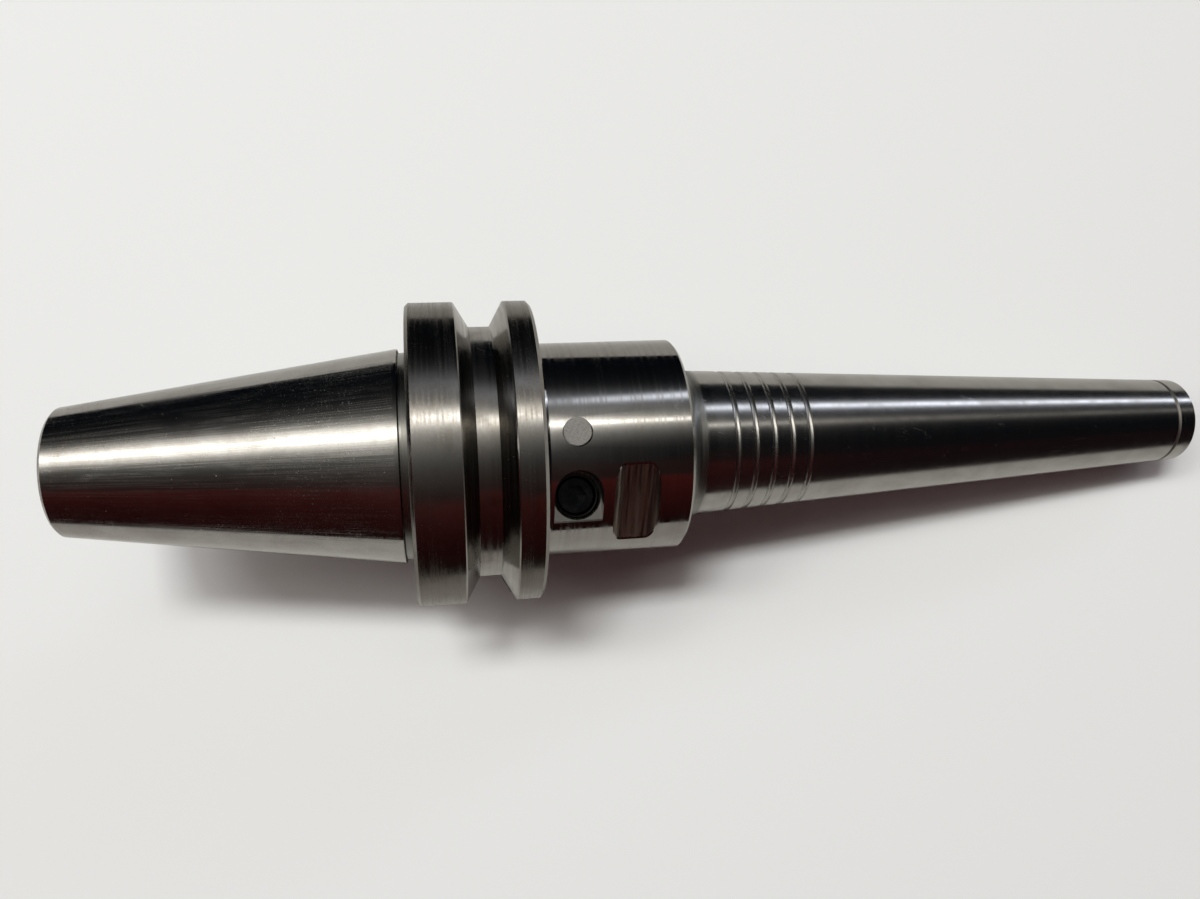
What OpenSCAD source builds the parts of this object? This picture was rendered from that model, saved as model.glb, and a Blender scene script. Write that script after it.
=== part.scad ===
// Slim hydraulic expansion chuck on a size 40 steep taper with a 63 mm gripper flange.
// X runs along the chuck's axis towards the tool, Z points up and the gauge line is at X = 0.
// Turning the clamp screw drives a piston into the oil, and the oil squeezes a thin sleeve on the tool.

/* [Spindle taper] */
// Diameter at the gauge line
taper_d = 44.45; // [43:0.05:46]
// Length from the gauge line to the small end
taper_l = 65.4; // [60:0.1:70]
// Change of diameter for each millimetre of length
taper_rate = 0.291667; // [0.25:0.000001:0.3]
// Chamfer at the small end
small_end_chamfer = 0.6; // [0.3:0.1:1.2]
// Diameter of the relief between the taper and the flange
relief_d = 42.8; // [40:0.1:43]
// Distance from the gauge line to where the relief starts
relief_start = 0.3; // [0.1:0.1:0.8]

/* [Pull stud end] */
// Diameter of the pilot bore
pilot_d = 17; // [16.5:0.1:18]
// Depth of the pilot bore
pilot_l = 9; // [5:0.5:12]
// Chamfer at the mouth of the pilot bore
pilot_chamfer = 0.8; // [0.3:0.1:1.5]
// Crest diameter of the pull stud thread
stud_thread_d = 13.8; // [13:0.1:14.5]
// Length of the pull stud thread
stud_thread_l = 26; // [20:1:34]
// Chamfer at the start of the pull stud thread
stud_thread_chamfer = 1; // [0.5:0.1:1.2]

/* [Flange] */
// Diameter of the flange
flange_d = 63; // [60:0.5:66]
// Distance from the gauge line to the flange's rear face
flange_gap = 2; // [1.5:0.1:3]
// Thickness of the flange
flange_w = 25; // [24:0.5:28]
// Chamfer on both outer edges of the flange
flange_chamfer = 0.7; // [0.3:0.1:1.2]
// Distance from the gauge line to the middle of the gripper groove
groove_x = 16.6; // [15.5:0.1:17.5]
// Diameter at the floor of the gripper groove
groove_floor_d = 53; // [51:0.5:56]
// Width of the gripper groove's floor
groove_floor_w = 4.2; // [3:0.1:5]
// Angle between the two flanks of the gripper groove
groove_angle = 60; // [50:1:70]
// Edge break along the gripper groove
groove_edge = 0.25; // [0.1:0.05:0.5]

/* [Drive slots] */
// Width of each drive slot
slot_w = 16.1; // [15:0.1:17]
// Distance from the axis to the floor of a drive slot
slot_floor = 22.6; // [22.6:0.1:25]

/* [Body] */
// Diameter of the body in front of the flange
body_d = 45; // [43:0.5:45.2]
// Length of the body in front of the flange
body_l = 30; // [28:1:34]
// Chamfer on the body's front edge
body_chamfer = 0.6; // [0.3:0.1:1]
// Fillet between the flange and the body
body_fillet = 1.5; // [0.5:0.1:2]

/* [Nose] */
// Distance from the gauge line to the front face
reach_l = 180; // [165:1:200]
// Diameter at the front face
tip_d = 19; // [19:0.5:22]
// Taper angle of the nose on each side
nose_angle = 3; // [2:0.1:3.2]
// Fillet between the body and the nose
nose_fillet = 3.5; // [2:0.1:4]
// Chamfer on the outer edge of the front face
tip_chamfer = 0.5; // [0.2:0.1:0.8]
// Number of ring grooves round the nose
ring_count = 5; // [1:1:7]
// Distance between two ring grooves
ring_pitch = 4; // [3:0.1:5]
// Distance from the body's front face to the first ring groove
ring_start = 11; // [8:0.1:14]
// Width of a ring groove
ring_w = 1.3; // [0.8:0.1:2]
// Depth of a ring groove
ring_depth = 0.45; // [0.3:0.05:0.6]

/* [Expansion sleeve] */
// Diameter of the tool bore
tool_d = 12; // [11:0.5:13]
// Chamfer at the mouth of the tool bore
tool_chamfer = 0.6; // [0.3:0.1:1]
// Wall between the tool bore and the oil
sleeve_wall = 1.1; // [0.8:0.1:1.3]
// Depth of the oil chambers round the sleeve
chamber_depth = 0.9; // [0.6:0.1:1]
// Length of each oil chamber
chamber_l = 14; // [10:0.5:16]
// Length of the sealed land at the sleeve's rear end
rear_land = 4; // [3:0.5:6]
// Length of the land between the two oil chambers
middle_land = 6; // [4:0.5:8]
// Length of the sealed land in front of the oil chambers
front_land = 5; // [3:0.5:6]
// Length of the collar that closes the front of the nose
collar_l = 4.6; // [3:0.1:6]
// Edge break on both sides of the joint between the collar and the nose
joint_edge = 0.35; // [0.2:0.05:0.6]

/* [Oil and coolant passages] */
// Diameter of the oil passages
passage_d = 1.5; // [1.2:0.1:1.8]
// Wall left between an oil passage and the sleeve's seat
passage_margin = 0.05; // [0.05:0.05:0.2]
// Diameter of the coolant bore
coolant_d = 6; // [5:0.5:7]

/* [Clamp screw port] */
// Distance from the flange's front face to both ports
port_reach = 6.8; // [6.5:0.1:8]
// Distance from the axis to the clamp screw, sideways
port_offset = 10.2; // [9.8:0.1:11]
// Height of the port's flat above the axis
port_flat = 16.4; // [15.5:0.1:17.5]
// Width of the pocket round the clamp screw
pocket_w = 9.6; // [9:0.1:10.5]
// Diameter of the entry above the thread
entry_d = 8.3; // [8.2:0.1:8.8]
// Diameter of the clamp screw's thread and of the piston bore
clamp_d = 8; // [7.4:0.1:8]
// Depth of the clamp screw's head below the flat when it is slack
clamp_depth = 2; // [1:0.1:3]
// Length of the clamp screw
clamp_l = 6; // [5:0.5:7]
// Width across the flats of the clamp screw's hex socket
clamp_hex_w = 4; // [3:0.5:4.5]
// Depth of the clamp screw's hex socket
clamp_hex_depth = 3.4; // [2.5:0.1:4]
// Chamfer at both ends of the clamp screw
clamp_chamfer = 0.5; // [0.2:0.1:0.8]

/* [Piston] */
// Diameter of the thrust ball
thrust_ball_d = 3.5; // [3:0.1:4]
// Depth that the thrust ball sinks in the screw and in the piston
cup_depth = 0.8; // [0.5:0.1:1]
// Length of the piston
piston_l = 2.8; // [2.4:0.1:4]
// Length of the backup ring
backup_l = 0.8; // [0.5:0.1:1.2]
// Length of the piston seal
seal_l = 2; // [1.5:0.1:2.4]
// Depth of the lip in the piston seal
lip_depth = 0.8; // [0.4:0.1:1.2]
// Width of the lip of the piston seal
lip_w = 1; // [0.6:0.1:1.4]
// Travel of the piston from slack to clamped
piston_travel = 4; // [3:0.5:4.5]
// Room left between the seal and the oil passage when clamped
oil_reserve = 0.45; // [0.2:0.05:0.8]

/* [Fill port] */
// Distance from the axis to the fill port, sideways
fill_offset = 2.1; // [1:0.1:3]
// Diameter of the fill port's plug
plug_d = 5.5; // [5.2:0.1:6]
// Length of the fill port's plug
plug_l = 2.4; // [1.5:0.1:3]
// Depth of the plug's face below the body's surface
plug_recess = 0.35; // [0.1:0.05:0.6]
// Edge break round the plug
plug_edge = 0.2; // [0.1:0.05:0.4]
// Diameter of the fill port's thread
fill_thread_d = 5; // [4.5:0.1:5]
// Length of the fill port's set screw
fill_screw_l = 5; // [4:0.5:6]
// Width across the flats of the set screw's hex socket
fill_hex_w = 2.5; // [2:0.1:2.8]
// Depth of the set screw's hex socket
fill_hex_depth = 2; // [1.5:0.1:2.5]
// Diameter of the sealing ball
fill_ball_d = 3; // [2.6:0.1:3.4]
// Diameter of the drilling below the sealing ball
fill_drill_d = 1.8; // [1.5:0.1:1.9]

/* [Adjusting screw] */
// Diameter of the adjusting screw's thread
stop_d = 10; // [9:0.5:10.5]
// Length of the adjusting screw
stop_l = 12; // [10:1:14]
// Distance from the sleeve's rear end to the adjusting screw's front face
stop_set = 2.4; // [1:0.1:4]
// Travel of the adjusting screw away from the tool
stop_travel = 10; // [6:1:12]
// Length of thread left behind the adjusting screw at the end of its travel
stop_reserve = 4; // [2:0.5:6]
// Width across the flats of the adjusting screw's hex socket
stop_hex_w = 5; // [4:0.5:5.5]
// Depth of the adjusting screw's hex socket
stop_hex_depth = 5; // [3:0.5:6]
// Diameter of the coolant hole through the adjusting screw
stop_hole_d = 3; // [2:0.5:3.5]
// Chamfer at both ends of the adjusting screw
stop_chamfer = 0.6; // [0.3:0.1:1]
// Thickness of the seal ring on the adjusting screw
ring_seal_t = 1.5; // [1:0.1:1.6]
// Distance from the adjusting screw's rear end to the middle of the seal ring
ring_seal_x = 2.6; // [2:0.1:3]

/* [Side cut] */
// Distance from the body's front face back to the middle of the side cut
cut_back = 11.6; // [10:0.1:13]
// Angle of the side cut round the axis, from the top towards the clamp screw
cut_angle = 36; // [30:1:45]
// Depth of the side cut
cut_depth = 2.05; // [1:0.05:2.5]
// Width of the side cut
cut_w = 9.3; // [8:0.1:10]
// Corner radius of the side cut
cut_radius = 2.3; // [1:0.1:3]

/* [Clearances] */
// Radial clearance of the screw threads and the piston
thread_gap = 0.05; // [0.03:0.01:0.08]
// Radial clearance of the seals
seal_gap = 0.03; // [0.02:0.01:0.05]
// Clearance of parts that are brazed or pressed in
joint_gap = 0.02; // [0.01:0.01:0.05]
// Clearance of the seal ring along its groove
groove_gap = 0.1; // [0.05:0.05:0.2]

/* [Hidden] */
$fn = 96;
// Overrun of a cut past the face that it opens
over = 1;
// Corner radius of a hexagon for one millimetre of half width
hex_corner = 1 / cos(30);
// Half of a twist drill's point angle
drill_half_angle = 59;

// Taper and flange
taper_r = taper_d / 2;
flange_r = flange_d / 2;
flange_front = flange_gap + flange_w;
groove_floor_r = groove_floor_d / 2;
groove_slope = tan(groove_angle / 2);
groove_half_floor = groove_floor_w / 2;
groove_half_rim = groove_half_floor + (flange_r - groove_floor_r) * groove_slope;

// Pull stud end
pilot_r = pilot_d / 2;
pilot_end = pilot_l - taper_l;
stud_thread_r = stud_thread_d / 2;
stud_thread_end = pilot_end + stud_thread_l;
coolant_r = coolant_d / 2;

// Body and nose
body_r = body_d / 2;
body_front = flange_front + body_l;
tip_r = tip_d / 2;
nose_slope = tan(nose_angle);
fillet_x = body_front + nose_fillet;
fillet_r = nose_r(fillet_x) + nose_fillet / cos(nose_angle);
fillet_end = fillet_x - nose_fillet * sin(nose_angle);
ring_cut_r = (ring_w * ring_w / 4 + ring_depth * ring_depth) / (2 * ring_depth);

// Expansion sleeve
tool_r = tool_d / 2;
chamber_floor_r = tool_r + sleeve_wall;
seat_r = chamber_floor_r + chamber_depth;
nose_end = reach_l - collar_l;
sleeve_rear = nose_end - front_land - chamber_l - middle_land - chamber_l - rear_land;
first_chamber = sleeve_rear + rear_land;
second_chamber = first_chamber + chamber_l + middle_land;

// Clamp screw port, from the flat downwards
port_x = flange_front + port_reach;
port_y = -port_offset;
clamp_r = clamp_d / 2;
clamp_top = port_flat - clamp_depth;
clamp_bottom = clamp_top - clamp_l;
thrust_ball_r = thrust_ball_d / 2;
thrust_ball_z = clamp_bottom + cup_depth - thrust_ball_r;
piston_top = clamp_bottom + 2 * cup_depth - thrust_ball_d;
piston_bottom = piston_top - piston_l;
backup_bottom = piston_bottom - backup_l;
seal_bottom = backup_bottom - seal_l;
passage_r = passage_d / 2;
oil_z = seal_bottom - piston_travel - oil_reserve - passage_r;
chamber_bottom = oil_z - passage_r - joint_gap;

// Fill port, from the plug's face downwards
fill_y = fill_offset;
plug_r = plug_d / 2;
plug_surface = sqrt(body_r * body_r - fill_y * fill_y);
plug_top = plug_surface - plug_recess;
plug_seat = plug_top - plug_l - joint_gap;
fill_thread_r = fill_thread_d / 2;
fill_screw_top = plug_seat - joint_gap;
fill_screw_bottom = fill_screw_top - fill_screw_l;
fill_ball_r = fill_ball_d / 2;
fill_ball_z = fill_screw_bottom - joint_gap - fill_ball_r;
fill_drill_r = fill_drill_d / 2;
fill_seat_apex = fill_ball_z - (fill_ball_r + joint_gap) / sin(45);

// Oil passages, each given as its place across the axis
passage_ring_r = seat_r - passage_r - passage_margin;
pressure_passage = [-sqrt(passage_ring_r * passage_ring_r - oil_z * oil_z), oil_z];
fill_passage = [fill_y, sqrt(passage_ring_r * passage_ring_r - fill_y * fill_y)];

// Adjusting screw
stop_r = stop_d / 2;
stop_front = sleeve_rear - stop_set;
stop_rear = stop_front - stop_l;
stop_bore_start = stop_rear - stop_travel - stop_reserve;
ring_seal_middle = stop_rear + ring_seal_x;
ring_seal_ring_r = stop_r - seal_gap - ring_seal_t / 2;
ring_groove_r = ring_seal_ring_r - ring_seal_t / 2 - joint_gap;

// Side cut
cut_x = body_front - cut_back;
cut_floor = body_r - cut_depth;

// Radius of the nose's cone at a distance from the gauge line
function nose_r(x) = tip_r + (reach_l - x) * nose_slope;
// Radius of the spindle taper at a distance from the gauge line
function spindle_r(x) = taper_r + x * taper_rate / 2;
// Turn about the axis that carries the top to a place across the axis
function clock(place) = atan2(-place[0], place[1]);

// Outlines of turned parts hold the radius first and the place along the axis second
module turned() {
    rotate([0, 90, 0])
        rotate_extrude()
            children();
}

// Straight hole along the axis
module bore(start, end, r) {
    rotate([0, 90, 0])
        translate([0, 0, start])
            cylinder(h = end - start, r = r);
}

// Hole along the axis that widens or narrows evenly
module cone(start, end, r_start, r_end) {
    rotate([0, 90, 0])
        translate([0, 0, start])
            cylinder(h = end - start, r1 = r_start, r2 = r_end);
}

// Upright hole or pin in one of the two ports
module upright(y, bottom, top, r) {
    translate([port_x, y, bottom])
        cylinder(h = top - bottom, r = r);
}

// Hexagonal socket that opens upwards
module hex_socket(top, depth, across) {
    translate([0, 0, top - depth])
        cylinder(h = depth + over, r = across / 2 * hex_corner, $fn = 6);
}

// Outside of the shank, flange, body and nose
module body_outline() {
    polygon([
        [0, -taper_l],
        [spindle_r(-taper_l + small_end_chamfer) - small_end_chamfer, -taper_l],
        [spindle_r(-taper_l + small_end_chamfer), -taper_l + small_end_chamfer],
        [taper_r, 0],
        [relief_d / 2, relief_start],
        [relief_d / 2, flange_gap],
        [flange_r - flange_chamfer, flange_gap],
        [flange_r, flange_gap + flange_chamfer],
        [flange_r, flange_front - flange_chamfer],
        [flange_r - flange_chamfer, flange_front],
        [body_r, flange_front],
        [body_r, body_front - body_chamfer],
        [body_r - body_chamfer, body_front],
        [nose_r(body_front), body_front],
        [nose_r(nose_end - joint_edge), nose_end - joint_edge],
        [nose_r(nose_end) - joint_edge, nose_end],
        [0, nose_end]
    ]);
}

// Gripper groove with its edge breaks
module gripper_groove() {
    edge_r = flange_r - groove_edge;
    edge_half = groove_half_rim - groove_edge * groove_slope;
    translate([0, groove_x])
        polygon([
            [groove_floor_r, -groove_half_floor],
            [edge_r, -edge_half],
            [flange_r + over, -edge_half - groove_edge - over],
            [flange_r + over, edge_half + groove_edge + over],
            [edge_r, edge_half],
            [groove_floor_r, groove_half_floor]
        ]);
}

// Metal left in the corner between the flange and the body
module flange_fillet() {
    difference() {
        translate([0, flange_front])
            square([body_r + body_fillet, body_fillet]);
        translate([body_r + body_fillet, flange_front + body_fillet])
            circle(r = body_fillet);
    }
}

// Metal left in the corner between the body and the nose
module nose_corner() {
    difference() {
        translate([0, body_front])
            square([fillet_r, fillet_end - body_front]);
        translate([fillet_r, fillet_x])
            circle(r = nose_fillet);
    }
}

// Round-bottomed grooves along the nose
module ring_grooves() {
    for (i = [0 : ring_count - 1]) {
        x = body_front + ring_start + i * ring_pitch;
        translate([nose_r(x) - ring_depth + ring_cut_r, x])
            circle(r = ring_cut_r);
    }
}

module drive_slots() {
    for (side = [0, 180])
        rotate([side, 0, 0])
            translate([flange_gap - over, slot_floor, -slot_w / 2])
                cube([flange_w + over + body_fillet, flange_r, slot_w]);
}

// Pilot bore, pull stud thread and coolant bore
module rear_bores() {
    mouth_r = pilot_r + pilot_chamfer;
    point_l = (stud_thread_r - coolant_r) / tan(drill_half_angle);
    cone(-taper_l - over, -taper_l + pilot_chamfer, mouth_r + over, pilot_r);
    bore(-taper_l - over, pilot_end, pilot_r);
    cone(pilot_end, pilot_end + stud_thread_chamfer, stud_thread_r + stud_thread_chamfer, stud_thread_r);
    bore(pilot_end - over, stud_thread_end, stud_thread_r);
    cone(stud_thread_end, stud_thread_end + point_l, stud_thread_r, coolant_r);
    bore(stud_thread_end, stop_bore_start, coolant_r);
}

// Thread for the adjusting screw and seat for the sleeve
module front_bores() {
    point_l = (stop_r - coolant_r) / tan(drill_half_angle);
    cone(stop_bore_start - point_l, stop_bore_start, coolant_r, stop_r);
    bore(stop_bore_start, sleeve_rear + over, stop_r);
    bore(sleeve_rear - joint_gap, nose_end + over, seat_r);
}

// Long drillings from the two ports to the shoulder behind the sleeve
module oil_passages() {
    for (place = [pressure_passage, fill_passage])
        translate([0, place[0], place[1]])
            bore(port_x - passage_r, sleeve_rear + over, passage_r);
    translate([port_x, port_y, oil_z])
        rotate([-90, 0, 0])
            cylinder(h = pressure_passage[0] - port_y, r = passage_r);
}

// Pocket, entry, thread and piston bore for the clamp screw
module clamp_port() {
    chamfer = (pocket_w - entry_d) / 2;
    thread_top = clamp_top + clamp_chamfer;
    upright(port_y, port_flat, flange_r, pocket_w / 2);
    translate([port_x - pocket_w / 2, -flange_r, port_flat])
        cube([pocket_w, flange_r + port_y, flange_r]);
    translate([port_x, port_y, port_flat - chamfer])
        cylinder(h = chamfer, r1 = entry_d / 2, r2 = pocket_w / 2);
    upright(port_y, thread_top, port_flat + over, entry_d / 2);
    upright(port_y, chamber_bottom, thread_top + over, clamp_r);
}

// Plug bore, thread, ball seat and drilling of the fill port
module fill_port() {
    upright(fill_y, plug_seat, flange_r, plug_r);
    translate([port_x, fill_y, plug_surface - plug_edge])
        cylinder(h = plug_edge + over, r1 = plug_r, r2 = plug_r + plug_edge + over);
    upright(fill_y, fill_seat_apex + fill_thread_r, plug_seat + over, fill_thread_r);
    translate([port_x, fill_y, fill_seat_apex])
        cylinder(h = fill_thread_r, r1 = 0, r2 = fill_thread_r);
    upright(fill_y, fill_passage[1], fill_seat_apex + fill_thread_r, fill_drill_r);
}

// Shallow cut across the body, with rounded corners along its floor
module side_cut() {
    rotate([cut_angle, 0, 0])
        translate([cut_x, 0, cut_floor])
            rotate([90, 0, 0])
                linear_extrude(height = body_d, center = true)
                    cut_outline();
}

module cut_outline() {
    half_floor = cut_w / 2 - cut_radius;
    translate([-half_floor, 0])
        square([2 * half_floor, body_r]);
    translate([-cut_w / 2, cut_radius])
        square([cut_w, body_r]);
    for (side = [-1, 1])
        translate([side * half_floor, cut_radius])
            circle(r = cut_radius);
}

module chuck_body() {
    color("silver")
        difference() {
            turned()
                difference() {
                    union() {
                        body_outline();
                        flange_fillet();
                        nose_corner();
                    }
                    gripper_groove();
                    ring_grooves();
                }
            drive_slots();
            rear_bores();
            front_bores();
            oil_passages();
            clamp_port();
            fill_port();
            side_cut();
        }
}

// Outline of the sleeve with its collar and its two oil chambers
module sleeve_outline() {
    outer_r = seat_r - joint_gap;
    collar_start = nose_end + joint_gap;
    polygon([
        [tool_r, sleeve_rear],
        [outer_r, sleeve_rear],
        [outer_r, first_chamber],
        [chamber_floor_r, first_chamber],
        [chamber_floor_r, first_chamber + chamber_l],
        [outer_r, first_chamber + chamber_l],
        [outer_r, second_chamber],
        [chamber_floor_r, second_chamber],
        [chamber_floor_r, second_chamber + chamber_l],
        [outer_r, second_chamber + chamber_l],
        [outer_r, collar_start],
        [nose_r(collar_start) - joint_edge, collar_start],
        [nose_r(collar_start + joint_edge), collar_start + joint_edge],
        [nose_r(reach_l - tip_chamfer), reach_l - tip_chamfer],
        [tip_r - tip_chamfer, reach_l],
        [tool_r + tool_chamfer, reach_l],
        [tool_r, reach_l - tool_chamfer]
    ]);
}

// Slot that leads the oil along the sleeve to its chambers
module feed_slot(place) {
    rotate([clock(place), 0, 0])
        translate([sleeve_rear - over, -passage_r, chamber_floor_r])
            cube([second_chamber - sleeve_rear + 2 * over, passage_d, seat_r]);
}

module expansion_sleeve() {
    color("gainsboro")
        difference() {
            turned()
                sleeve_outline();
            feed_slot(pressure_passage);
            feed_slot(fill_passage);
        }
}

// Round pin with a chamfer at both ends, standing on Z = 0
module chamfered_pin(r, h, chamfer) {
    rotate_extrude()
        polygon([
            [0, 0],
            [r - chamfer, 0],
            [r, chamfer],
            [r, h - chamfer],
            [r - chamfer, h],
            [0, h]
        ]);
}

module clamp_screw() {
    color("dimgray")
        translate([port_x, port_y, 0])
            difference() {
                translate([0, 0, clamp_bottom])
                    chamfered_pin(clamp_r - thread_gap, clamp_l, clamp_chamfer);
                hex_socket(clamp_top, clamp_hex_depth, clamp_hex_w);
                translate([0, 0, thrust_ball_z])
                    sphere(r = thrust_ball_r + joint_gap);
            }
}

module thrust_ball() {
    color("lightgray")
        translate([port_x, port_y, thrust_ball_z])
            sphere(r = thrust_ball_r);
}

module piston() {
    color("gray")
        difference() {
            upright(port_y, piston_bottom, piston_top, clamp_r - thread_gap);
            translate([port_x, port_y, thrust_ball_z])
                sphere(r = thrust_ball_r + joint_gap);
        }
}

module backup_ring() {
    color("ivory")
        upright(port_y, backup_bottom, piston_bottom - joint_gap, clamp_r - seal_gap);
}

// Seal with a lip that the oil presses against the bore
module piston_seal() {
    lip_r = clamp_r - seal_gap - lip_w;
    color("darkslategray")
        difference() {
            upright(port_y, seal_bottom, backup_bottom - joint_gap, clamp_r - seal_gap);
            translate([port_x, port_y, seal_bottom])
                cylinder(h = lip_depth, r1 = lip_r, r2 = lip_r - lip_depth);
        }
}

module fill_ball() {
    color("lightgray")
        translate([port_x, fill_y, fill_ball_z])
            sphere(r = fill_ball_r);
}

module fill_screw() {
    color("dimgray")
        translate([port_x, fill_y, 0])
            difference() {
                translate([0, 0, fill_screw_bottom])
                    chamfered_pin(fill_thread_r - thread_gap, fill_screw_l, clamp_chamfer);
                hex_socket(fill_screw_top, fill_hex_depth, fill_hex_w);
            }
}

module fill_plug() {
    color("darkgray")
        upright(fill_y, plug_seat + joint_gap, plug_top, plug_r - joint_gap);
}

module stop_screw() {
    groove_w = ring_seal_t + 2 * groove_gap;
    color("dimgray")
        difference() {
            rotate([0, 90, 0])
                translate([0, 0, stop_rear])
                    chamfered_pin(stop_r - thread_gap, stop_l, stop_chamfer);
            turned()
                translate([ring_groove_r, ring_seal_middle - groove_w / 2])
                    square([stop_r, groove_w]);
            bore(stop_rear - over, stop_front + over, stop_hole_d / 2);
            rotate([0, 90, 0])
                hex_socket(stop_front, stop_hex_depth, stop_hex_w);
        }
}

module stop_seal_ring() {
    color("darkslategray")
        turned()
            translate([ring_seal_ring_r, ring_seal_middle])
                circle(r = ring_seal_t / 2);
}

chuck_body();
expansion_sleeve();
clamp_screw();
thrust_ball();
piston();
backup_ring();
piston_seal();
fill_ball();
fill_screw();
fill_plug();
stop_screw();
stop_seal_ring();
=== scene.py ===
# %% [markdown]
# # A hydraulic chuck, dressed for its picture
#
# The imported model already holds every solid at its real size. This lesson adds what a solid
# can't say: how ground steel mirrors a room, where hands and spindles have left their marks,
# and the threads of the three small screws. Lengths in Blender are metres, in the same frame
# as the model: X runs along the chuck's axis towards the tool, and Z points up. The sizes named
# below are millimetres, but for the lamps', which are metres.

import math

import bmesh
import bpy
from mathutils import Matrix, Vector


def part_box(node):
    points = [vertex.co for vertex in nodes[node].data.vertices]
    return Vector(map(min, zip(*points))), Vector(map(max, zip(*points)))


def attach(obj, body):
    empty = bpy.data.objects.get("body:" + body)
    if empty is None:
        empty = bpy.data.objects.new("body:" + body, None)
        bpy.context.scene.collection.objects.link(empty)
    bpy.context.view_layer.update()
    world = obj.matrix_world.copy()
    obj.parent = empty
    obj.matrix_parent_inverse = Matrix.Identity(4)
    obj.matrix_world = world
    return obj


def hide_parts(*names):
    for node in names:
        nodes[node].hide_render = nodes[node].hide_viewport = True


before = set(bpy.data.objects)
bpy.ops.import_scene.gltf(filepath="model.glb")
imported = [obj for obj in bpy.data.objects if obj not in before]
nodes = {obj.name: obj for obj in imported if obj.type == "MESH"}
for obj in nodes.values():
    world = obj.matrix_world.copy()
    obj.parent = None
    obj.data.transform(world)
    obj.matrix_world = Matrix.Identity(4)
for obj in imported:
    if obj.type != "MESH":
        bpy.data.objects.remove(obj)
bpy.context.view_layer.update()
MM = 0.001
MM_PER_METRE = 1000.0
print("nodes:", ", ".join(sorted(nodes)))

# %% [markdown]
# ## The camera
#
# The taper's gauge diameter, the flange and the reach are known, so their outlines in the
# photograph fix where the camera stood: about 200 mm above the chuck's axis, looking a little
# towards the nose. The three directions below are the picture's right and down and the line of
# sight. The focal length is in pixels of the photograph, which is 1200 pixels wide.

# %% Make the camera
EYE = Vector((7.185, -10.148, 200.336))
PICTURE_RIGHT = Vector((0.98433568, -0.05626509, 0.16708536))
PICTURE_DOWN = Vector((-0.04753806, -0.99731063, -0.05578207))
SIGHT = Vector((0.16977459, 0.04696536, -0.98436317))
SENSOR_MM = 36.0
PICTURE_WIDTH_PIXELS = 1200
FOCAL_PIXELS = 944.08
LENS_MM = FOCAL_PIXELS / PICTURE_WIDTH_PIXELS * SENSOR_MM

camera_data = bpy.data.cameras.new("camera")
camera_data.sensor_fit = "HORIZONTAL"
camera_data.sensor_width = SENSOR_MM
camera_data.lens = LENS_MM
camera_data.clip_start = 0.01
camera_data.clip_end = 20
camera = bpy.data.objects.new("camera", camera_data)
bpy.context.scene.collection.objects.link(camera)
facing = Matrix((PICTURE_RIGHT, -PICTURE_DOWN, -SIGHT)).transposed().to_4x4()
camera.matrix_world = Matrix.Translation(EYE * MM) @ facing
bpy.context.scene.camera = camera
bpy.context.scene.view_settings.view_transform = "Standard"
print("lens in mm:", round(LENS_MM, 2))

# %% [markdown]
# ## Small helpers for node trees
#
# A node tree is built by adding nodes and joining their sockets. `add` makes one node, sets its
# properties, and fills each input with either a plain value or another node's output. `group`
# starts a shared node group, and `use` places one in a tree.

# %% Helpers for nodes
def is_socket(value):
    return isinstance(value, bpy.types.NodeSocket)


def fill(tree, node, inputs):
    for key, value in inputs.items():
        if is_socket(value):
            tree.links.new(value, node.inputs[key])
        else:
            node.inputs[key].default_value = value
    return node


def add(tree, kind, inputs=None, **properties):
    node = tree.nodes.new(kind)
    for name, value in properties.items():
        setattr(node, name, value)
    return fill(tree, node, inputs or {})


def group(name, inputs, outputs):
    tree = bpy.data.node_groups.new(name, "ShaderNodeTree")
    for socket, value in inputs.items():
        made = tree.interface.new_socket(socket, in_out="INPUT", socket_type="NodeSocketFloat")
        made.default_value = value
    for socket in outputs:
        tree.interface.new_socket(socket, in_out="OUTPUT", socket_type="NodeSocketFloat")
    start = tree.nodes.new("NodeGroupInput").outputs
    end = tree.nodes.new("NodeGroupOutput").inputs
    return tree, start, end


def use(tree, shared, inputs=None):
    node = tree.nodes.new("ShaderNodeGroup")
    node.node_tree = shared
    return fill(tree, node, inputs or {}).outputs


print("node helpers ready")

# %% [markdown]
# ## Helpers for sums and masks
#
# A mask is a number from 0 to 1 that says how much of a finish a point gets. Masks are made and
# joined by sums, so the sums get short names. `ramp` spreads a value from 0 to 1, `window` is 1
# between two places and 0 outside, and `zigzag` rises and falls once for each whole number.

# %% Helpers for sums and masks
def math_of(tree, operation, a, b=0.0, clamp=False):
    node = add(tree, "ShaderNodeMath", {0: a, 1: b}, operation=operation, use_clamp=clamp)
    return node.outputs[0]


def plus(tree, a, b, clamp=False):
    return math_of(tree, "ADD", a, b, clamp)


def minus(tree, a, b):
    return math_of(tree, "SUBTRACT", a, b)


def times(tree, a, b):
    return math_of(tree, "MULTIPLY", a, b)


def over(tree, a, b, clamp=False):
    return math_of(tree, "DIVIDE", a, b, clamp)


def larger(tree, a, b):
    return math_of(tree, "MAXIMUM", a, b)


def distance(tree, a, b):
    return math_of(tree, "SQRT", plus(tree, times(tree, a, a), times(tree, b, b)))


def zigzag(tree, phase):
    return times(tree, math_of(tree, "PINGPONG", phase, 0.5), 2.0)


def ramp(tree, value, start, end, low=0.0, high=1.0, curve="SMOOTHSTEP"):
    ends = {"Value": value, "From Min": start, "From Max": end, "To Min": low, "To Max": high}
    return add(tree, "ShaderNodeMapRange", ends, interpolation_type=curve).outputs["Result"]


def window(tree, value, start, end, soft):
    rise = ramp(tree, value, start - soft, start + soft)
    fall = ramp(tree, value, end - soft, end + soft, 1.0, 0.0)
    return times(tree, rise, fall)


print("sum helpers ready")

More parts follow.
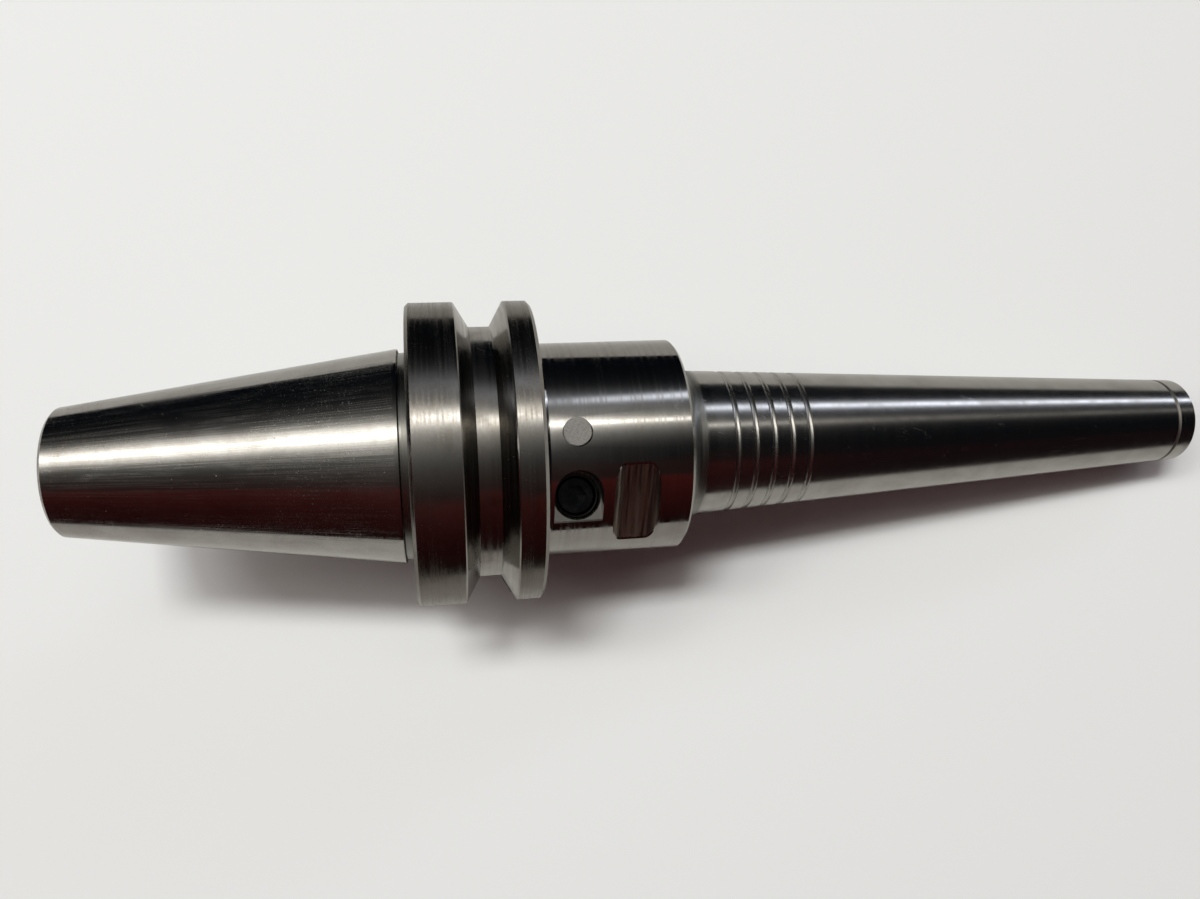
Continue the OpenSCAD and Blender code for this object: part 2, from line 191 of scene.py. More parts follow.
# %% [markdown]
# ## Helpers for places, noise and colour
#
# Every pattern on the chuck reads Object coordinates, which are fixed to the metal. `stretched`
# scales them by one number along the axis and by another across it, before a noise reads them.
# `tint` lays one colour over another where a mask says so, and `blend` does that for shaders.

# %% Helpers for places, noise and colour
def object_place(tree):
    return add(tree, "ShaderNodeTexCoord").outputs["Object"]


def stretched(tree, vector, lengthwise, across):
    sizes = add(tree, "ShaderNodeCombineXYZ", {"X": lengthwise, "Y": across, "Z": across})
    inputs = {0: vector, 1: sizes.outputs[0]}
    return add(tree, "ShaderNodeVectorMath", inputs, operation="MULTIPLY").outputs[0]


def noise_at(tree, vector, detail, scale=1.0, **more):
    inputs = {"Vector": vector, "Scale": scale, "Detail": detail, **more}
    return add(tree, "ShaderNodeTexNoise", inputs).outputs[0]


def opaque(colour):
    return colour if is_socket(colour) else (*colour, 1.0)


def tint(tree, mask, below, above):
    inputs = {0: mask, 6: opaque(below), 7: opaque(above)}
    return add(tree, "ShaderNodeMix", inputs, data_type="RGBA").outputs[2]


def blend(tree, share, below, above):
    return add(tree, "ShaderNodeMixShader", {0: share, 1: below, 2: above}).outputs[0]


def ray_is(tree, kind):
    return add(tree, "ShaderNodeLightPath").outputs["Is " + kind + " Ray"]


print("colour helpers ready")

# %% [markdown]
# ## A place on the chuck
#
# Nearly everything on a turned part depends on two numbers: how far along the axis a point is,
# and how far from the axis. The first shared group gives both in millimetres, with the turn
# round the axis as a share of a full circle. It reads Object coordinates, so the finish stays
# put on the metal when a piece moves.

# %% Group: place along and around the axis
chuck_place, _, out = group("place on the chuck", {}, ["Along", "Radius", "Round"])
parts = add(chuck_place, "ShaderNodeSeparateXYZ", {0: object_place(chuck_place)}).outputs
from_axis = distance(chuck_place, parts["Y"], parts["Z"])
angle = math_of(chuck_place, "ARCTAN2", parts["Y"], parts["Z"])
chuck_place.links.new(times(chuck_place, parts["X"], MM_PER_METRE), out["Along"])
chuck_place.links.new(times(chuck_place, from_axis, MM_PER_METRE), out["Radius"])
chuck_place.links.new(over(chuck_place, angle, math.tau), out["Round"])
print("group:", chuck_place.name)

# %% [markdown]
# ## Lines left by turning and grinding
#
# A grinding wheel leaves lines that run round the axis. Stretching a noise does this well: fine
# along X and coarse across it, so that each line is long, thin and a little uneven. Two sizes
# are mixed, because real lines are never all alike.

# %% Group: grinding lines
grinding, given, out = group("grinding lines", {"Lines per mm": 8.0, "Waver": 0.02}, ["Height"])
heights = []
for share, scale in ((0.65, 1000.0), (0.35, 260.0)):
    fine = times(grinding, given["Lines per mm"], scale)
    across = times(grinding, given["Waver"], scale)
    scaled = stretched(grinding, object_place(grinding), fine, across)
    heights.append(times(grinding, noise_at(grinding, scaled, 2.0), share))
grinding.links.new(plus(grinding, *heights), out["Height"])
print("group:", grinding.name)

# %% [markdown]
# ## Smudges
#
# Handled steel carries a thin film of oil and finger marks. It hardly has a colour of its own:
# it shows because the mirror turns dull there. So this group gives one mask, cloudy and with a
# soft edge, that later raises the roughness and darkens the metal a little.

# %% Group: smudges
SMUDGE_EDGE = 0.12
smudge, given, out = group("smudges", {"Size mm": 8.0, "Cover": 0.5, "Stretch": 1.0}, ["Mask"])
per_size = over(smudge, MM_PER_METRE, given["Size mm"])
long_way = over(smudge, per_size, given["Stretch"])
scaled = stretched(smudge, object_place(smudge), long_way, per_size)
clouds = noise_at(smudge, scaled, 5.0, Roughness=0.62, Distortion=0.4)
level = minus(smudge, 1.0, given["Cover"])
lowest = minus(smudge, level, SMUDGE_EDGE)
highest = plus(smudge, level, SMUDGE_EDGE)
smudge.links.new(ramp(smudge, clouds, lowest, highest, curve="LINEAR"), out["Mask"])
print("group:", smudge.name)

# %% [markdown]
# ## Fine scratches
#
# A scratch is long, narrow and nearly straight. A stretched noise crosses its own middle value
# along such lines, so the points close to that value make a net of hairlines. A second, coarser
# noise keeps only some of them, which breaks the net into single scratches.

# %% Group: scratches
SCRATCH_SIZES = {"Length mm": 12.0, "Apart mm": 2.0, "Width": 0.012, "Amount": 0.4, "Lean": 0.3}
LEAN_AXIS = (0.2, 0.3, 1.0)
scratch, given, out = group("scratches", SCRATCH_SIZES, ["Mask"])
turning = {"Vector": object_place(scratch), "Angle": given["Lean"], "Axis": LEAN_AXIS}
leaning = add(scratch, "ShaderNodeVectorRotate", turning).outputs[0]
long_way = over(scratch, MM_PER_METRE, given["Length mm"])
short_way = over(scratch, MM_PER_METRE, given["Apart mm"])
field = noise_at(scratch, stretched(scratch, leaning, long_way, short_way), 1.0)
off_middle = math_of(scratch, "ABSOLUTE", minus(scratch, field, 0.5))
hairline = ramp(scratch, off_middle, 0.0, given["Width"], 1.0, 0.0, curve="LINEAR")
keep = noise_at(scratch, leaning, 1.0, scale=260.0)
limit = minus(scratch, 0.75, times(scratch, given["Amount"], 0.5))
kept = math_of(scratch, "GREATER_THAN", keep, limit)
scratch.links.new(times(scratch, hairline, kept), out["Mask"])
print("group:", scratch.name)

# %% [markdown]
# ## Wipe marks
#
# A taper is wiped along its axis each time it goes into a spindle. Grit in the rag leaves faint
# straight streaks. The noise is stretched the other way here: long along the axis, and fine round
# it. It reads the turn round the axis, not Y and Z, so that the streaks follow the cone.

# %% Group: wipe marks
TAPER_MEAN_RADIUS = 17.5
wipe, given, out = group("wipe marks", {"Width mm": 0.15, "Length mm": 12.0, "Cover": 0.4}, ["Mask"])
where = use(wipe, chuck_place)
angle = times(wipe, where["Round"], math.tau)
widths_out = over(wipe, TAPER_MEAN_RADIUS, given["Width mm"])
lengths_along = over(wipe, where["Along"], given["Length mm"])
circle = [times(wipe, math_of(wipe, curve, angle), widths_out) for curve in ("COSINE", "SINE")]
unrolled = {"X": lengths_along, "Y": circle[0], "Z": circle[1]}
field = noise_at(wipe, add(wipe, "ShaderNodeCombineXYZ", unrolled).outputs[0], 1.0)
level = minus(wipe, 0.9, times(wipe, given["Cover"], 0.8))
marks = ramp(wipe, field, minus(wipe, level, 0.08), level, curve="LINEAR")
wipe.links.new(marks, out["Mask"])
print("group:", wipe.name)

# %% [markdown]
# ## Specks
#
# Dried coolant leaves small pale dots, and bumps leave pits. Both are spots in a cell pattern.
# Each cell has its own random number, and only the cells above a limit get their spot.

# %% Group: specks
speck, given, out = group("specks", {"Apart mm": 1.6, "Size": 0.2, "Amount": 0.25}, ["Mask"])
per_cell = over(speck, MM_PER_METRE, given["Apart mm"])
cells = add(speck, "ShaderNodeTexVoronoi", {"Vector": object_place(speck), "Scale": per_cell}).outputs
own = add(speck, "ShaderNodeSeparateColor", {0: cells["Color"]}).outputs
spot = math_of(speck, "LESS_THAN", cells["Distance"], times(speck, given["Size"], own["Green"]))
chosen = math_of(speck, "LESS_THAN", own["Red"], given["Amount"])
speck.links.new(times(speck, spot, chosen), out["Mask"])
print("group:", speck.name)

# %% [markdown]
# ## Threads inside the bores
#
# The bores are modelled at the crests of their threads. A thread is a slope that climbs one
# pitch for each turn, so place along the axis over pitch, less the turn round it, has the same
# value all the way down a groove. A zigzag over that number gives the height for a bump.

# %% Group: thread inside a bore
inner_thread, given, out = group("thread in a bore", {"Pitch mm": 2.0}, ["Height"])
where = use(inner_thread, chuck_place)
turns = over(inner_thread, where["Along"], given["Pitch mm"])
phase = minus(inner_thread, turns, where["Round"])
inner_thread.links.new(zigzag(inner_thread, phase), out["Height"])
print("group:", inner_thread.name)

# %% [markdown]
# ## The ground steel of the chuck
#
# One bar makes the taper, the flange, the body and the nose, but each is finished in its own
# way. Windows along the axis pick them out, and each name below says where one starts and ends.
# The taper, the body and the nose are ground to a mirror; the flange's groove, the neck and the
# ring grooves are only turned, so they are duller and their lines stand out more. Inside the
# bores the metal is as the drill left it.

# %% Ground steel: zones along the axis
RELIEF_NECK = (0.1, 2.1)
FLANGE = (1.8, 27.2)
GROOVE = (11.4, 21.8)
NECK = (57.2, 61.5)
NOSE_START = (60.0, 64.0)
RING_ROW = (66.0, 86.0)
RING_PITCH = 4.0
RING_CUT = (1.45, 2.55)
FRONT_FACE = (174.9, 175.2)
JOINT_EDGE = (174.95, 175.85)
BORE_RADIUS = 9.6


def steel_material(name):
    material = bpy.data.materials.new(name)
    material.use_nodes = True
    tree = material.node_tree
    shader = tree.nodes["Principled BSDF"]
    shader.inputs["Metallic"].default_value = 1.0
    return material, tree, shader


ground_steel, tree, shader = steel_material("ground steel")
where = use(tree, chuck_place)
along, radius = where["Along"], where["Radius"]
taper_zone = ramp(tree, along, -1.0, 0.0, 1.0, 0.0)
relief_neck = window(tree, along, *RELIEF_NECK, 0.05)
flange = window(tree, along, *FLANGE, 0.1)
groove = window(tree, along, *GROOVE, 0.15)
rims = minus(tree, flange, groove)
neck = window(tree, along, *NECK, 0.8)
turned = larger(tree, groove, neck)
nose = ramp(tree, along, *NOSE_START)
ring_place = math_of(tree, "MODULO", minus(tree, along, RING_ROW[0]), RING_PITCH)
ring_row = window(tree, along, *RING_ROW, 0.1)
ring_grooves = times(tree, window(tree, ring_place, *RING_CUT, 0.1), ring_row)
joint_edge = window(tree, along, *JOINT_EDGE, 0.05)
near_axis = math_of(tree, "LESS_THAN", radius, BORE_RADIUS)
inside_zone = times(tree, near_axis, ramp(tree, along, *FRONT_FACE, 1.0, 0.0))
print("flange from", FLANGE[0], "to", FLANGE[1], "mm, neck from", NECK[0], "to", NECK[1], "mm")

# %% [markdown]
# The cut in the side and the flat face of the clamp screw's port lie deeper than the skin of
# the body, so the distance from the axis tells them from it. The wall of the port gets painted
# shade, near black, and it is found by its distance from the port's own axis.

# %% Ground steel: the side cut and the port
PORT_AXIS = (33.8, -10.2)
PORT_FACE = (28.6, 39.0)
SIDE_CUT = (40.6, 50.2)
below_skin = ramp(tree, radius, 22.2, 22.4, 1.0, 0.0)
below_body = times(tree, below_skin, ramp(tree, radius, BORE_RADIUS, 10.0))
cut_floor = times(tree, below_body, window(tree, along, *SIDE_CUT, 0.05))
port_face = times(tree, below_body, window(tree, along, *PORT_FACE, 0.05))
milled = larger(tree, cut_floor, port_face)
side_metres = add(tree, "ShaderNodeSeparateXYZ", {0: object_place(tree)}).outputs["Y"]
sideways = times(tree, side_metres, MM_PER_METRE)
off_along = minus(tree, along, PORT_AXIS[0])
off_side = minus(tree, sideways, PORT_AXIS[1])
from_port = distance(tree, off_along, off_side)
# painted shade: the wall of the port's hole goes near black
port_wall_shade = times(tree, ramp(tree, from_port, 4.0, 5.1, 1.0, 0.0), port_face)
print("port's axis in mm:", PORT_AXIS)

# %% [markdown]
# Each kind of mark gets its own mask. The taper has wipe marks, and the wheel's lines show most
# on the flange and the body. The sides of both, away from the top, get painted shade for the
# shadowed table that they mirror, and dust lies on the taper, finest near its big end.

# %% Ground steel: marks of use
BODY = (27.0, 57.0)
NEAR_FLANGE = (-26.0, -4.0)
smudges = use(tree, smudge, {"Size mm": 7.0, "Cover": 0.46})["Mask"]
streaks = use(tree, smudge, {"Size mm": 2.2, "Cover": 0.36, "Stretch": 0.35})["Mask"]
haze = use(tree, smudge, {"Size mm": 0.22, "Cover": 0.46})["Mask"]
wiped = use(tree, wipe, {"Width mm": 0.16, "Length mm": 22.0, "Cover": 0.44})["Mask"]
wiped_wide = use(tree, smudge, {"Size mm": 3.5, "Cover": 0.60, "Stretch": 3.0})["Mask"]
wheel = use(tree, grinding, {"Lines per mm": 2.2, "Waver": 0.03})["Height"]
wheel = ramp(tree, wheel, 0.40, 0.60, -0.5, 0.5)
wheel_zone = minus(tree, 1.0, times(tree, taper_zone, 0.9))
wheel_zone = minus(tree, wheel_zone, times(tree, nose, 0.8))
sides = math_of(tree, "ABSOLUTE", sideways)
# painted shade: the rims and the body darken towards their sides, away from the top, for the shadowed
# table that they mirror
rim_side_shade = times(tree, ramp(tree, sides, 13.0, 26.0), rims)
body_side_shade = times(tree, ramp(tree, sides, 12.0, 20.0), window(tree, along, *BODY, 1.0))
side_shade = plus(tree, times(tree, rim_side_shade, 0.8), times(tree, body_side_shade, 0.35))
hair = use(tree, scratch, {"Length mm": 16.0, "Width": 0.007, "Amount": 0.22})["Mask"]
cross_hair = use(
    tree, scratch, {"Length mm": 10.0, "Apart mm": 4.0, "Width": 0.006, "Amount": 0.16, "Lean": 1.2}
)["Mask"]
hairlines = larger(tree, hair, cross_hair)
dust_patch = use(tree, smudge, {"Size mm": 9.0, "Cover": 0.42, "Stretch": 2.0})["Mask"]
coarse_dust = use(tree, speck, {"Apart mm": 0.9, "Size": 0.2, "Amount": 0.25})["Mask"]
fine_dust = use(tree, speck, {"Apart mm": 0.2, "Size": 0.36, "Amount": 0.28})["Mask"]
near_flange = window(tree, along, *NEAR_FLANGE, 8.0)
fine_dust = times(tree, fine_dust, times(tree, near_flange, 0.5))
dust = larger(tree, times(tree, coarse_dust, dust_patch), fine_dust)
print("marks ready on", ground_steel.name)

# %% [markdown]
# The colour starts as plain steel. Oil darkens the rims of the flange most, because grippers
# and fingers hold the chuck there. A brown stain sits at the small end of the taper, and pale
# specks lie along the taper. The floor of the side cut shows the path of the cutter in stripes.
# Each row below is a mask, how strongly it counts, and the colour that it lays on.

# %% Ground steel: colour
STEEL = (0.38, 0.372, 0.352)
FLANGE_STEEL = (0.31, 0.30, 0.282)
BORE_STEEL = (0.25, 0.24, 0.23)
MILLED_DARK = (0.13, 0.095, 0.08)
MILLED_PALE = (0.37, 0.31, 0.26)
OILY = (0.19, 0.175, 0.15)
# Painted shade on the sides of the rims and the body, and real grime at the joint edges, take this
# colour.
GRIME_AND_SHADE = (0.12, 0.108, 0.09)
# Painted shade for the deep hole of the port.
HOLE_SHADE = (0.035, 0.034, 0.033)
# Painted shade for the relief groove and the neck fillet.
RECESS_SHADE = (0.20, 0.20, 0.18)
STAIN = (0.24, 0.18, 0.13)
PALE_DUST = (0.60, 0.59, 0.56)
handled = times(tree, smudges, ramp(tree, flange, 0.0, 1.0, 0.35, 0.75))
wheel_shade = times(tree, plus(tree, wheel, 0.5), times(tree, wheel_zone, 0.22))
stained = times(tree, ramp(tree, along, -66.0, -44.0, 0.75, 0.0), streaks)
on_taper = times(tree, dust, taper_zone)
cutter = use(tree, grinding, {"Lines per mm": 1.1, "Waver": 0.05})["Height"]
cutter_marks = tint(tree, ramp(tree, cutter, 0.44, 0.58), MILLED_DARK, MILLED_PALE)
colour = tint(tree, flange, STEEL, FLANGE_STEEL)
for mask, strength, shade in (
    (handled, 1.0, OILY),
    # painted shade on the sides of the rims and the body
    (side_shade, 1.0, GRIME_AND_SHADE),
    (wheel_shade, 1.0, OILY),
    # painted shade in the relief groove before the flange and in the neck fillet
    (larger(tree, neck, relief_neck), 0.8, RECESS_SHADE),
    (stained, 1.0, STAIN),
    (on_taper, 0.6, PALE_DUST),
    (inside_zone, 0.6, BORE_STEEL),
    (cut_floor, 1.0, cutter_marks),
    # painted shade on the wall of the port's hole
    (port_wall_shade, 1.0, HOLE_SHADE),
    (joint_edge, 0.6, GRIME_AND_SHADE),
):
    colour = tint(tree, times(tree, mask, strength), colour, shade)
tree.links.new(colour, shader.inputs["Base Color"])
print("steel colour:", STEEL)

# %% [markdown]
# The roughness says how sharp the mirror is. It starts low, as a ground face is bright, and
# each row adds what its mask costs the mirror. Only the port's painted-shade wall gets sharper.

# %% Ground steel: roughness
GROUND_ROUGH = 0.09
TURNED_ROUGH = 0.17
wiped_here = times(tree, times(tree, wiped, wiped_wide), taper_zone)
wheel_here = times(tree, wheel, wheel_zone)
rough = ramp(tree, turned, 0.0, 1.0, GROUND_ROUGH, TURNED_ROUGH)
for mask, amount in (
    (rims, 0.05),
    (nose, 0.09),
    (joint_edge, 0.30),
    (neck, 0.20),
    (relief_neck, 0.16),
    (ring_grooves, 0.08),
    (milled, 0.27),
    (times(tree, rims, haze), 0.06),
    (wheel_here, 0.10),
    (wiped_here, 0.16),
    (side_shade, 0.07),
    (handled, 0.08),
    (stained, 0.16),
    (hairlines, 0.10),
    (on_taper, 0.5),
    (port_wall_shade, -0.18),
):
    rough = plus(tree, rough, times(tree, mask, amount))
rough = plus(tree, rough, times(tree, inside_zone, 0.25), clamp=True)
tree.links.new(rough, shader.inputs["Roughness"])
print("ground", GROUND_ROUGH, "turned", TURNED_ROUGH)

# %% [markdown]
# Two bumps follow each other. The first is the fine relief of the lines, the wipe marks and the
# hairlines, two hundredths of a millimetre deep at most. The second gives the bores of the pull stud
# and of the adjusting screw their threads.

# %% Ground steel: bump
STUD_THREAD = (-55.6, -31.0)
STOP_THREAD = (104.5, 132.0)
lines = use(tree, grinding, {"Lines per mm": 6.0, "Waver": 0.015})["Height"]
relief = times(tree, lines, ramp(tree, turned, 0.0, 1.0, 0.12, 1.0))
relief = plus(tree, relief, times(tree, times(tree, wiped, taper_zone), 0.14))
relief = minus(tree, relief, times(tree, hairlines, 0.25))
grain = add(tree, "ShaderNodeBump", {"Height": relief, "Strength": 0.25, "Distance": 0.02 * MM})
stud_zone = times(tree, inside_zone, window(tree, along, *STUD_THREAD, 0.3))
stud_thread = use(tree, inner_thread, {"Pitch mm": 2.0})["Height"]
stop_zone = times(tree, inside_zone, window(tree, along, *STOP_THREAD, 0.3))
stop_thread = use(tree, inner_thread, {"Pitch mm": 1.0})["Height"]
stud_height = times(tree, stud_zone, stud_thread)
stop_height = times(tree, times(tree, stop_zone, stop_thread), 0.5)
threads = {"Height": plus(tree, stud_height, stop_height), "Distance": 1.1 * MM}
deep = add(tree, "ShaderNodeBump", {**threads, "Normal": grain.outputs[0]})
tree.links.new(deep.outputs[0], shader.inputs["Normal"])
print("material:", ground_steel.name)

# %% [markdown]
# ## The steel of the expansion sleeve
#
# The sleeve's collar is ground together with the nose, so it looks the same outside. Its front
# face and its bore are finer, with lines that circle the tool. The broken edges at the joint of
# the two pieces hold some grime, so both materials are duller and darker there.

# %% Material: sleeve steel
sleeve_steel, tree, shader = steel_material("sleeve steel")
film = use(tree, smudge, {"Size mm": 4.0, "Cover": 0.42})["Mask"]
hair = use(tree, scratch, {"Length mm": 5.0, "Apart mm": 1.5})["Mask"]
joint_edge = window(tree, use(tree, chuck_place)["Along"], *JOINT_EDGE, 0.05)
colour = tint(tree, times(tree, film, 0.5), STEEL, OILY)
colour = tint(tree, times(tree, joint_edge, 0.6), colour, GRIME_AND_SHADE)
tree.links.new(colour, shader.inputs["Base Color"])
rough = plus(tree, times(tree, film, 0.08), 0.17)
for mask, amount in ((hair, 0.1), (joint_edge, 0.3)):
    rough = plus(tree, rough, times(tree, mask, amount))
tree.links.new(rough, shader.inputs["Roughness"])
lines = use(tree, grinding, {"Lines per mm": 9.0, "Waver": 0.01})["Height"]
bump = add(tree, "ShaderNodeBump", {"Height": lines, "Strength": 0.12, "Distance": 0.01 * MM})
tree.links.new(bump.outputs[0], shader.inputs["Normal"])
print("material:", sleeve_steel.name)

# %% [markdown]
# ## The small parts
#
# The plug is a soft steel disc whose face was faced off and never polished, so it is matte with
# a fine grain. The screws are blackened by oxide and wet with oil. The balls are polished, the
# piston is ground, its backup ring is a pale plastic, and the seals are rubber. One function
# makes them all from a base colour, a second colour for the worn or dirty places, and the sizes
# of their grain.

# %% Materials: small parts
def small_material(name, base, second, rough, spread, grain_mm, depth_mm, metallic=1.0, patch_mm=2.0):
    material, tree, shader = steel_material(name)
    shader.inputs["Metallic"].default_value = metallic
    patches = use(tree, smudge, {"Size mm": patch_mm, "Cover": 0.45})["Mask"]
    tree.links.new(tint(tree, patches, base, second), shader.inputs["Base Color"])
    wide = ramp(tree, patches, 0.0, 1.0, rough, rough + spread)
    tree.links.new(wide, shader.inputs["Roughness"])
    grain = noise_at(tree, object_place(tree), 3.0, scale=MM_PER_METRE / grain_mm)
    height = {"Height": grain, "Strength": 0.6, "Distance": depth_mm * MM}
    tree.links.new(add(tree, "ShaderNodeBump", height).outputs[0], shader.inputs["Normal"])
    print("material:", material.name)
    return material


plug_steel = small_material(
    "plug steel", (0.46, 0.45, 0.43), (0.32, 0.31, 0.29),
    rough=0.42, spread=0.1, grain_mm=0.25, depth_mm=0.04, patch_mm=0.35,
)
black_steel = small_material(
    "black oxide", (0.007, 0.008, 0.010), (0.015, 0.015, 0.017),
    rough=0.16, spread=0.14, grain_mm=0.2, depth_mm=0.01, metallic=0.85,
)
bright_steel = small_material(
    "bright steel", (0.70, 0.70, 0.69), (0.62, 0.61, 0.60),
    rough=0.06, spread=0.06, grain_mm=0.5, depth_mm=0.002,
)
piston_steel = small_material(
    "piston steel", (0.55, 0.55, 0.54), (0.45, 0.44, 0.43),
    rough=0.18, spread=0.12, grain_mm=0.2, depth_mm=0.005,
)
backup_plastic = small_material(
    "backup plastic", (0.80, 0.77, 0.66), (0.72, 0.68, 0.56),
    rough=0.4, spread=0.1, grain_mm=0.3, depth_mm=0.01, metallic=0.0,
)
seal_rubber = small_material(
    "seal rubber", (0.022, 0.022, 0.024), (0.035, 0.034, 0.034),
    rough=0.5, spread=0.15, grain_mm=0.12, depth_mm=0.02, metallic=0.0,
)

# %% [markdown]
# Each node of the model takes the finish of its real piece. A node that has no material slot yet
# gets one.

# %% Dress the nodes
FINISHES = {
    "chuck_body": ground_steel,
    "expansion_sleeve": sleeve_steel,
    "clamp_screw": black_steel,
    "thrust_ball": bright_steel,
    "piston": piston_steel,
    "backup_ring": backup_plastic,
    "piston_seal": seal_rubber,
    "fill_ball": bright_steel,
    "fill_screw": black_steel,
    "fill_plug": plug_steel,
    "stop_screw": black_steel,
    "stop_seal_ring": seal_rubber,
}
for name, finish in FINISHES.items():
    slots = nodes[name].material_slots
    if not slots:
        nodes[name].data.materials.append(finish)
    for each in slots:
        each.material = finish
print("finished nodes:", len(FINISHES))

# %% [markdown]
# ## Real threads on the three screws
#
# The solids of the screws are plain pins at the crest of their threads. Here each gets its
# thread as real shape. A screw starts as a stack of rings of 72 points, closer together where
# the thread will be. A hexagon in the stack makes the socket. Then one Geometry Nodes tree cuts
# the helix: every point on the wall asks how far along the pitch it is, less its turn round the
# axis, and moves inwards by the depth of the groove there.

# %% Geometry Nodes: start the tree
def geometry_tree(name, inputs):
    tree = bpy.data.node_groups.new(name, "GeometryNodeTree")
    kinds = {"Geometry": "NodeSocketGeometry", "Material": "NodeSocketMaterial"}
    for socket in ("Geometry", *inputs):
        kind = kinds.get(socket, "NodeSocketFloat")
        tree.interface.new_socket(socket, in_out="INPUT", socket_type=kind)
    tree.interface.new_socket("Geometry", in_out="OUTPUT", socket_type="NodeSocketGeometry")
    return tree, tree.nodes.new("NodeGroupInput").outputs, tree.nodes.new("NodeGroupOutput").inputs


THREAD_INPUTS = ["Crest Radius", "Depth", "Pitch", "Start", "End", "Material"]
cutting, given, out = geometry_tree("cut a thread", THREAD_INPUTS)
print("inputs:", ", ".join(THREAD_INPUTS))

# %% [markdown]
# A metric thread has a narrow flat at its crest and a wider one at its root. So the zigzag is
# cut off a little at both ends: an eighth of the way is crest, a quarter is root, and the flank
# is the rest. The groove runs in and out over half a pitch at each end of the thread.

# %% Geometry Nodes: cut a thread
CREST_FLAT = 0.125
FLANK = 0.625
ON_WALL = 0.02
place = add(cutting, "GeometryNodeInputPosition").outputs[0]
at = add(cutting, "ShaderNodeSeparateXYZ", {0: place}).outputs
from_axis = distance(cutting, at["X"], at["Y"])
share_round = over(cutting, math_of(cutting, "ARCTAN2", at["Y"], at["X"]), math.tau)
phase = minus(cutting, over(cutting, at["Z"], given["Pitch"]), share_round)
flank = over(cutting, minus(cutting, zigzag(cutting, phase), CREST_FLAT), FLANK, clamp=True)
half_pitch = times(cutting, given["Pitch"], 0.5)
run_in = over(cutting, minus(cutting, at["Z"], given["Start"]), half_pitch, clamp=True)
run_out = over(cutting, minus(cutting, given["End"], at["Z"]), half_pitch, clamp=True)
cut = times(cutting, flank, times(cutting, run_in, run_out))
cut = times(cutting, cut, given["Depth"])
left = over(cutting, minus(cutting, from_axis, cut), from_axis)
scales = add(cutting, "ShaderNodeCombineXYZ", {"X": left, "Y": left, "Z": 1.0}).outputs[0]
moved = add(cutting, "ShaderNodeVectorMath", {0: place, 1: scales}, operation="MULTIPLY").outputs[0]
skin = minus(cutting, given["Crest Radius"], ON_WALL * MM)
on_wall = math_of(cutting, "GREATER_THAN", from_axis, skin)
moving = {"Geometry": given["Geometry"], "Selection": on_wall, "Position": moved}
threaded = add(cutting, "GeometryNodeSetPosition", moving).outputs[0]
real = add(cutting, "GeometryNodeRealizeInstances", {"Geometry": threaded}).outputs[0]
painted = {"Geometry": real, "Material": given["Material"]}
finished = add(cutting, "GeometryNodeSetMaterial", painted).outputs[0]
cutting.links.new(finished, out["Geometry"])
print("tree:", cutting.name)

# %% [markdown]
# Each screw is listed from the floor of its socket, up and over the outside, to the middle of
# its lower end. `wall` gives the rings of a plain stretch, sixteen to each turn of the thread,
# and `stack` joins the rings into a closed mesh.

# %% Rings and stacks
AROUND = 72
STEPS_PER_PITCH = 16


def ring(radius, height, hexagon=False):
    points = []
    for i in range(AROUND):
        turn = math.tau * i / AROUND
        reach = radius
        if hexagon:
            off_corner = (turn + math.pi / 6) % (math.pi / 3) - math.pi / 6
            reach = radius / math.cos(math.pi / 6 - abs(off_corner))
        points.append((reach * math.cos(turn) * MM, reach * math.sin(turn) * MM, height * MM))
    return points


def wall(radius, top, bottom, pitch):
    steps = max(1, math.ceil((top - bottom) / pitch * STEPS_PER_PITCH))
    return [ring(radius, top + (bottom - top) * i / steps) for i in range(steps + 1)]


def stack(name, rings, closed):
    points = [point for each in rings for point in each]
    faces = []
    count = len(rings)
    for level in range(count if closed else count - 1):
        upper = level * AROUND
        lower = (level + 1) % count * AROUND
        for i in range(AROUND):
            after = (i + 1) % AROUND
            faces.append((upper + i, lower + i, lower + after, upper + after))
    if not closed:
        faces.append(tuple(range(AROUND)))
        last = (count - 1) * AROUND
        faces.append(tuple(last + i for i in reversed(range(AROUND))))
    mesh = bpy.data.meshes.new(name)
    mesh.from_pydata(points, [], faces)
    made = bmesh.new()
    made.from_mesh(mesh)
    bmesh.ops.recalc_face_normals(made, faces=made.faces)
    if made.calc_volume(signed=True) < 0:
        bmesh.ops.reverse_faces(made, faces=made.faces)
    made.to_mesh(mesh)
    made.free()
    return mesh


print("points in a ring:", AROUND)

# %% [markdown]
# `threaded_piece` runs the tree on a stack, keeps the result as a plain mesh in its place on the
# chuck, and lets it stand for the plain pin. `ends` reads from the frame where a node starts and
# ends, and `socket_and_wall` gives the rings that all three screws have in common.

# %% Make a threaded piece
def threaded_piece(replaced, body, place, rings, sizes, closed=False):
    name = replaced + "_threaded"
    piece = bpy.data.objects.new(name, stack(name, rings, closed))
    bpy.context.scene.collection.objects.link(piece)
    modifier = piece.modifiers.new("thread", "NODES")
    modifier.node_group = cutting
    for item in cutting.interface.items_tree:
        if item.in_out == "INPUT" and item.name in sizes:
            modifier[item.identifier] = sizes[item.name] * MM
        elif item.in_out == "INPUT" and item.name == "Material":
            modifier[item.identifier] = black_steel
    scene_now = bpy.context.evaluated_depsgraph_get()
    evaluated = piece.evaluated_get(scene_now)
    solid = bpy.data.meshes.new_from_object(
        evaluated, preserve_all_data_layers=True, depsgraph=scene_now
    )
    piece.modifiers.clear()
    piece.data = solid
    solid.name = name
    solid.transform(place)
    for face in solid.polygons:
        face.use_smooth = True
    solid.set_sharp_from_angle(angle=math.radians(28.0))
    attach(piece, body)
    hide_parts(replaced)
    print(name, "faces:", len(solid.polygons))


def ends(node, axis):
    return [round(corner["XYZ".index(axis)] / MM, 3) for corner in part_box(node)]


